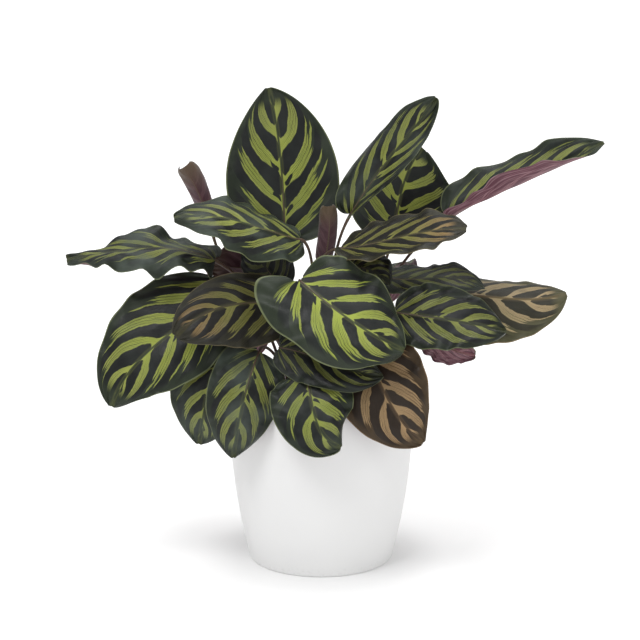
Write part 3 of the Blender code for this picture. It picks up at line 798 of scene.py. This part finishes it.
class Paint:
    """A material's node tree with its Principled shader."""

    def __init__(self, name, **constants):
        self.material = bpy.data.materials.new(name)
        self.material.use_nodes = True
        self.tree = self.material.node_tree
        self.shader = self.tree.nodes["Principled BSDF"]
        for socket, value in constants.items():
            self.shader.inputs[socket.replace("_", " ")].default_value = value

    def mix(self, factor, low, high):
        """A colour between two, each a plain colour or another mix."""
        node = self.tree.nodes.new("ShaderNodeMix")
        node.data_type = "RGBA"
        node.clamp_factor = True
        feed(self.tree, node.inputs[0], factor)
        feed(self.tree, node.inputs[6], low)
        feed(self.tree, node.inputs[7], high)
        return Arrow(self.tree, node.outputs[2])

    def layers(self, colour, colours, *layers):
        """A colour under layers, each a mask and the name of its colour."""
        for mask, name in layers:
            colour = self.mix(mask, colour, colours[name])
        return colour

    def attribute(self, name):
        node = self.tree.nodes.new("ShaderNodeAttribute")
        node.attribute_name = name
        return Value(self.tree, node.outputs["Fac"])

    def object_place(self):
        node = self.tree.nodes.new("ShaderNodeTexCoord")
        return Arrow(self.tree, node.outputs["Object"])

    def speckle(self, scale, detail=3.0):
        """Smooth noise in object space."""
        return noise(self.tree, self.object_place(), scale, detail)

    def leaf_place(self):
        node = self.tree.nodes.new("ShaderNodeUVMap")
        node.uv_map = "leaf"
        across, along, _ = Arrow(self.tree, node.outputs[0]).parts()
        return across * 2.0 - 1.0, along

    def bump(self, height, distance, strength=1.0):
        node = self.tree.nodes.new("ShaderNodeBump")
        node.inputs["Distance"].default_value = distance
        node.inputs["Strength"].default_value = strength
        feed(self.tree, node.inputs["Height"], height)
        self.tree.links.new(node.outputs[0], self.shader.inputs["Normal"])

    def set(self, socket, value):
        feed(self.tree, self.shader.inputs[socket], value)


class Feather:
    """The markings of a leaf as fields over its blade.

    outward runs from 0 on the midrib to 1 on the margin. inside runs from 0 at the edge of a
    dark blotch to 1 in the middle of a light stripe. light and blotch are the two masks.
    """

    def __init__(self, paint, across, along):
        self.tree, self.along = paint.tree, along
        self.shift = paint.attribute("stripe_shift")
        waver = self.speckle(across * 3.0, along * 5.0, 40.0, 1.6) - 0.5
        self.outward, self.right, start, self.vein = side_veins(
            across, along + waver * 0.05, self.shift, paint.attribute("stripes"))
        self.number = self.vein.floor()
        self.from_blotch = (self.vein.fract() - 0.5).size() * 2.0
        self.frayed = self.speckle(self.vein * 10.0, self.outward * 3.0, 20.0, 2.4) - 0.5
        lens, edge = self.blotch_edge(waver)
        self.inside = (self.from_blotch - edge) / (1.0 - edge)
        blotch = self.blotches(lens, edge)
        reach = start.rises(*BASE_FADE) * along.rises(*TIP_FADE)
        self.fade = self.speckle(across * 2.0, along * 4.0, 60.0, 1.3)
        self.light = self.stripes() * reach * (1.0 - blotch) * self.fine_lines()
        self.light = self.light * self.fade.rises(0.12, 0.42).pick(0.55, 1.0)
        self.blotch = blotch * self.outward.rises(0.93, 0.78) * reach
        self.grain = self.speckle(self.vein * 22.0, self.outward * 2.2, 30.0, 1.9, 4.0)
        cross = self.outward * CROSS_VEINS + self.frayed * 2.4 + self.number * 0.37
        self.cross_vein = (cross.fract() - 0.5).size() * 2.0

    def speckle(self, x, y, spread, scale, detail=3.0):
        """Smooth noise, different on each leaf."""
        return noise(self.tree, arrow(self.tree, x, y, self.shift * spread), scale, detail)

    def blotch_edge(self, waver):
        """The width of a dark blotch: narrow at the midrib, widest past it, and uneven."""
        luck = chance(self.tree, self.number * 7.0 + self.right * 31.0
                      + (self.shift * 97.0).floor())
        lens = self.outward.rises(-0.05, 0.07) * self.outward.rises(0.06, 0.42).pick(1.12, 0.70)
        lens = lens * self.outward.rises(0.5, 0.8).pick(1.0, 1.12)
        return lens, (lens * (luck.pick(*BLOTCH_WIDTH) + waver * 0.25)).least(0.93)

    def blotches(self, lens, edge):
        """The dark blotches between the stripes, and small dark ovals beside the midrib."""
        near = self.from_blotch + self.frayed * 0.16
        blotch = near.rises(edge + 0.05, edge - 0.05) * lens.above(0.01)
        oval = ((1.0 - self.from_blotch) * 2.6) ** 2.0 + ((self.outward - 0.115) * 13.0) ** 2.0
        some = chance(self.tree, self.number * 3.0 + self.right * 17.0 + 5.0).above(0.6)
        return blotch.most(oval.rises(1.15, 0.75) * some)

    def stripes(self):
        """The light stripes, each made of strands that end at different distances."""
        strand = self.vein * STRANDS
        ends = chance(self.tree, strand.floor() + self.right * 57.0 + (self.shift * 53.0).floor())
        ends = ends.pick(*STRIPE_ENDS)
        point = (strand.fract() - 0.5).size() * 0.16
        return (self.outward + point + self.frayed * 0.05).rises(ends + 0.025, ends - 0.025)

    def fine_lines(self):
        """1 less the dark lines that run along a stripe: two veins, hairs and brush strokes."""
        outward = self.outward
        middle = self.from_blotch.rises(0.975 - outward * 0.09, 1.0) * outward.rises(0.08, 0.3)
        second = (self.inside - 0.45).size().rises(outward * 0.2 + 0.04, 0.0)
        second = second * outward.rises(0.25, 0.6)
        hair = (((self.vein + self.frayed * 0.03) * HAIRS).fract() - 0.5).size() * 2.0
        hair = hair.rises(0.55, 1.0) * outward.rises(0.04, 0.3)
        stroke = self.speckle(self.vein * 46.0, outward * 3.0, 70.0, 1.6).rises(0.5, 0.72)
        stroke = stroke * outward.rises(0.05, 0.5)
        return ((1.0 - middle * 0.8) * (1.0 - second * 0.75) * (1.0 - hair * 0.7)
                * (1.0 - stroke * 0.55))


def stripe_colour(paint, marks, grain, colours):
    """The light stripes: paler to the margin and beside the blotches, tinted at the leaf's tip."""
    return paint.layers(colours["stripe"], colours, (grain, "stripe_pale"),
                        (marks.fade.rises(0.35, 0.65) * 0.6, "stripe_other"),
                        (marks.outward.rises(0.45, 0.85) * 0.35, "stripe_pale"),
                        (paint.attribute("glow"), "stripe_bright"),
                        (marks.inside.rises(0.35, 0.0) * 0.5, "stripe_pale"),
                        (marks.along.rises(0.5, 0.9) * 0.8, "stripe_tip"))


def upper_leaf(name, colours):
    """The upper side: light feather stripes round dark blotches, a dull margin, a satin skin."""
    paint = Paint(name, IOR=1.42, Specular_IOR_Level=0.34, Sheen_Weight=0.02,
                  Sheen_Roughness=0.4)
    across, along = paint.leaf_place()
    marks = Feather(paint, across, along)
    from_rib = paint.attribute("from_rib")
    rib = from_rib.rises(RIB_HALF_WIDTH * 1.25, RIB_HALF_WIDTH * 0.6) * along.rises(0.97, 0.9)
    beside = from_rib.rises(RIB_HALF_WIDTH * 3.0, RIB_HALF_WIDTH) * (1.0 - rib)
    grain = (marks.grain - 0.5) * 2.0 + 0.5
    stripe = stripe_colour(paint, marks, grain, colours)
    # Patches where a grey-blue sheen is painted on; they also pale the ground and vary the
    # roughness.
    bloom = paint.speckle(38.0).rises(0.35, 0.75)
    ground = paint.mix(grain * 0.6 + bloom * 0.5, colours["margin"], colours["margin_pale"])
    blotch = paint.mix(grain * 0.5, colours["blotch"], colours["margin"])
    ground = paint.mix(marks.blotch, ground, blotch)
    cross = marks.cross_vein.rises(0.72, 1.0) * 0.45
    colour = paint.layers(paint.mix(marks.light, ground, stripe), colours,
                          (beside * 0.10, "stripe_pale"), (cross * grain, "margin"))
    colour = paint.mix(rib * 0.9, colour, paint.mix(along, colours["rib_base"], colours["rib"]))
    paint.set("Base Color", paint.layers(colour, colours,
                                         # a pale line along the margin: the leaf's own pale rim,
                                         # with a painted edge highlight on it
                                         (marks.outward.rises(0.968, 0.988) * 0.75, "edge"),
                                         # painted shade on leaves deep in the plant, and a darker
                                         # tone of their own on a few
                                         (paint.attribute("shade"), "blotch"),
                                         # patches of painted grey-blue sheen
                                         (bloom * paint.attribute("bloom"), "bloom")))
    paint.set("Roughness", grain * 0.12 + bloom * 0.12 + 0.27 + marks.light * 0.06)
    cells = paint.speckle(2600.0, 2.0)
    paint.bump(grain * 0.8 + cells * 0.35 + rib * 1.5, 0.00022, 0.6)
    return paint.material


def leaf_underside(name, colours):
    """The underside: wine red, the stripes dull pink, and streaks of painted highlight.

    Where a leaf is shaded, it gets painted shade and a brown tip.
    """
    paint = Paint(name, IOR=1.45, Sheen_Weight=0.15, Sheen_Roughness=0.5)
    across, along = paint.leaf_place()
    marks = Feather(paint, across, along)
    grain = (marks.grain - 0.5) * 1.2 + 0.5
    streak = noise(paint.tree, arrow(paint.tree, across * 16.0, along * 3.0, 0.0), 1.5, 3.0)
    # Pale streaks towards the margin: a painted highlight.
    silver = streak.rises(0.42, 0.7) * marks.outward.rises(0.3, 0.9)
    rib = paint.attribute("from_rib").rises(RIB_HALF_WIDTH * 2.0, RIB_HALF_WIDTH * 0.7)
    # The shade amount: painted shade on the underside, and with it a brown tip.
    shade = paint.attribute("shade")
    paint.set("Base Color", paint.layers(
        colours["under"], colours, (grain, "dark"), (marks.light * 0.5, "stripe"),
        (streak.rises(0.5, 0.75) * 0.35, "stripe"), (silver * 0.35, "silver"),
        (rib * 0.7, "rib"), (shade, "deep"),
        (shade * along.rises(0.55, 0.95) * 0.9, "tip")))
    paint.set("Roughness", grain * 0.15 + 0.5)
    pores = paint.speckle(2200.0, 2.0)
    paint.bump(grain + pores * 0.4, 0.0002, 0.6)
    return paint.material


def stalk_skin():
    """Wine red at the soil, greener towards the blade, with fine lines along the stalk."""
    paint = Paint("wine_green_stalk", IOR=1.45, Sheen_Weight=0.1)
    along = paint.attribute("along")
    place = paint.object_place().parts()
    lines = noise(paint.tree, arrow(paint.tree, place[0], place[1], place[2] * 0.06), 1400.0, 3.0)
    spots = paint.speckle(240.0)
    colour = paint.mix(along * 0.75 + (spots - 0.5) * 0.7, linear(74, 38, 42), linear(88, 84, 54))
    colour = paint.mix(lines.rises(0.5, 0.75) * 0.35, colour, linear(122, 104, 84))
    paint.set("Base Color", colour)
    paint.set("Roughness", lines * 0.2 + 0.35)
    paint.bump(lines, 0.00015, 0.5)
    return paint.material


def pot_glaze():
    """Smooth satin white, with a barely uneven surface and darker grey specks low on the foot."""
    paint = Paint("satin_white_pot", IOR=1.48, Specular_IOR_Level=0.45, Coat_Weight=0.1,
                  Coat_Roughness=0.3)
    height = paint.object_place().parts()[2]
    cloud, speck = paint.speckle(14.0), paint.speckle(420.0)
    # Darker grey specks on the lowest 12 mm of the pot.
    foot_specks = height.rises(0.012, 0.0) * speck.rises(0.52, 0.7)
    colour = paint.mix(cloud, linear(231, 231, 231), linear(237, 237, 236))
    colour = paint.mix(foot_specks * 0.25, colour, linear(196, 194, 190))
    paint.set("Base Color", colour)
    paint.set("Roughness", cloud * 0.08 + speck * 0.05 + 0.36)
    paint.bump(cloud * 0.7 + speck * 0.08, 0.00018, 0.5)
    return paint.material


def earth():
    paint = Paint("potting_soil", Specular_IOR_Level=0.25)
    coarse, fine = paint.speckle(260.0, 4.0), paint.speckle(1700.0)
    colour = paint.mix(coarse.rises(0.35, 0.7), linear(36, 26, 20), linear(74, 55, 42))
    colour = paint.mix(fine.rises(0.6, 0.75) * 0.6, colour, linear(108, 84, 62))
    paint.set("Base Color", colour)
    paint.set("Roughness", fine * 0.2 + 0.75)
    paint.bump(fine + coarse, 0.0006, 0.9)
    return paint.material


def perlite_grain():
    paint = Paint("perlite", Specular_IOR_Level=0.3)
    pores = paint.speckle(2400.0)
    paint.set("Base Color", paint.mix(pores, linear(176, 170, 160), linear(226, 222, 214)))
    paint.set("Roughness", pores * 0.2 + 0.7)
    paint.bump(pores, 0.0003, 0.8)
    return paint.material


def palette(**colours):
    return {name: linear(*colour) for name, colour in colours.items()}


# The colours of each upper side; one of them is a painted grey-blue sheen.
GREEN = palette(
    stripe_bright=(168, 184, 66), stripe_tip=(150, 156, 80), bloom=(86, 96, 88),
    stripe=(104, 116, 46), stripe_pale=(176, 182, 92), stripe_other=(134, 140, 58),
    blotch=(15, 15, 19), margin=(27, 34, 24), margin_pale=(46, 54, 38), rib=(38, 46, 28),
    rib_base=(60, 66, 42), edge=(120, 128, 88),
)
BRONZE = palette(
    stripe_bright=(176, 148, 112), stripe_tip=(160, 132, 96), bloom=(104, 92, 80),
    stripe=(118, 92, 60), stripe_pale=(174, 146, 106), stripe_other=(140, 118, 78),
    blotch=(32, 24, 19), margin=(52, 40, 26), margin_pale=(76, 60, 38), rib=(52, 38, 26),
    rib_base=(96, 76, 52), edge=(138, 114, 84),
)
DUSKY = palette(
    stripe_bright=(150, 150, 72), stripe_tip=(162, 128, 88), bloom=(80, 78, 70),
    stripe=(98, 100, 46), stripe_pale=(152, 150, 80), stripe_other=(122, 122, 56),
    blotch=(20, 18, 18), margin=(36, 36, 27), margin_pale=(56, 54, 38), rib=(60, 54, 36),
    rib_base=(86, 80, 54), edge=(118, 108, 78),
)
OLIVE_TAN = palette(
    stripe_bright=(188, 168, 132), stripe_tip=(186, 162, 122), bloom=(116, 110, 92),
    stripe=(132, 114, 78), stripe_pale=(194, 172, 132), stripe_other=(142, 138, 82),
    blotch=(30, 28, 22), margin=(62, 62, 42), margin_pale=(88, 86, 60), rib=(92, 78, 48),
    rib_base=(120, 104, 70), edge=(140, 124, 88),
)
# The underside's colours, with one for painted shade and one for a pale painted highlight.
UNDER = palette(
    silver=(196, 160, 166), deep=(58, 32, 38), tip=(88, 74, 50),
    under=(102, 50, 65), dark=(66, 34, 46), stripe=(170, 128, 132),
    rib=(134, 84, 88),
)


# ---- The plant ----


def add_blade(number, leaf, tree):
    line, looks = midrib_line(leaf)
    guide = guide_mesh(f"{leaf.name}_midrib", line, looks=looks)
    blade = grown(tree, guide, f"leaf_{leaf.name}", blade_sizes(number, leaf))
    blade.set_sharp_from_angle(angle=math.radians(RIM_ANGLE))
    add_piece(f"leaf_{leaf.name}", blade, f"blade_{leaf.name}")


def add_stalk(leaf, tree):
    route, rib = stalk_line(leaf)
    guide = guide_mesh(f"{leaf.name}_route", route, rib=rib)
    lengths = np.concatenate([[0], np.cumsum(np.linalg.norm(np.diff(route, axis=0), axis=1))])
    knuckle = float(lengths[(rib == 0).sum() - 1] / lengths[-1])
    stalk = grown(tree, guide, f"stem_{leaf.name}", {"Knuckle place": knuckle})
    add_piece(f"stem_{leaf.name}", stalk, f"stalk_{leaf.name}")


def add_leaves():
    under = leaf_underside("wine_underside", UNDER)
    skins = {"green": upper_leaf("feathered_green", GREEN),
             "bronze": upper_leaf("feathered_bronze", BRONZE),
             "dusky": upper_leaf("feathered_dusky", DUSKY),
             "olive_tan": upper_leaf("feathered_olive_tan", OLIVE_TAN)}
    trees = {look: blade_tree(skin, under) for look, skin in skins.items()}
    stalks = stalk_tree(stalk_skin())
    for number, leaf in enumerate(LEAVES):
        add_blade(number, leaf, trees[look_of(leaf)["skin"]])
        add_stalk(leaf, stalks)


def add_pot():
    mesh = turned("white_pot", pot_profile(), POT_SIDES)
    mesh.materials.append(pot_glaze())
    add_piece("white_pot", mesh, "pot")


def add_soil():
    bed = turned("soil_bed", soil_profile(), SOIL_SIDES)
    mesh = grown(soil_tree(earth(), perlite_grain()), bed, "soil_bed", SOIL_SIZES)
    add_piece("soil_bed", mesh, "soil")


# ---- Floor, light and camera ----


def add_floor():
    shape = bmesh.new()
    bmesh.ops.create_grid(shape, x_segments=1, y_segments=1, size=FLOOR_SIZE)
    mesh = bpy.data.meshes.new("floor")
    shape.to_mesh(mesh)
    shape.free()
    paint = Paint("pale_floor", Roughness=0.9, Specular_IOR_Level=0.1)
    paint.set("Base Color", (0.8, 0.8, 0.8, 1))
    paint.set("Emission Color", (1, 1, 1, 1))
    distance = paint.object_place().math("LENGTH")
    glow = distance.rises(*GLOW_SPREAD).pick(FLOOR_GLOW, FAR_GLOW)
    # Less glow round the pot's foot paints a contact shadow.
    paint.set("Emission Strength", distance.rises(*FOOT_SHADOW_SPREAD).pick(FOOT_SHADOW_GLOW, glow))
    mesh.materials.append(paint.material)
    floor = bpy.data.objects.new("floor", mesh)
    bpy.context.scene.collection.objects.link(floor)


def add_lamp(name, place, size, power):
    light = bpy.data.lights.new(name, "AREA")
    light.shape = "DISK"
    light.size = size
    light.energy = power
    lamp = bpy.data.objects.new(name, light)
    lamp.location = place
    lamp.rotation_euler = (VIEW_AIM - Vector(place)).to_track_quat("-Z", "Y").to_euler()
    bpy.context.scene.collection.objects.link(lamp)


def add_light():
    world = bpy.data.worlds.new("studio")
    bpy.context.scene.world = world
    world.use_nodes = True
    sky = world.node_tree.nodes["Background"]
    sky.inputs["Color"].default_value = (1, 1, 1, 1)
    sky.inputs["Strength"].default_value = WORLD_STRENGTH
    for lamp in LAMPS:
        add_lamp(*lamp)
    bpy.context.scene.view_settings.view_transform = "Standard"


def add_camera():
    data = bpy.data.cameras.new("camera")
    data.lens = LENS
    data.sensor_width = 36
    camera = bpy.data.objects.new("camera", data)
    back = Vector((0, -math.cos(VIEW_ELEVATION), math.sin(VIEW_ELEVATION))) * VIEW_DISTANCE
    camera.location = VIEW_AIM + back
    camera.rotation_euler = (math.pi / 2 - VIEW_ELEVATION, 0, 0)
    bpy.context.scene.collection.objects.link(camera)
    bpy.context.scene.camera = camera


add_camera()
add_pot()
add_soil()
add_leaves()
add_floor()
add_light()
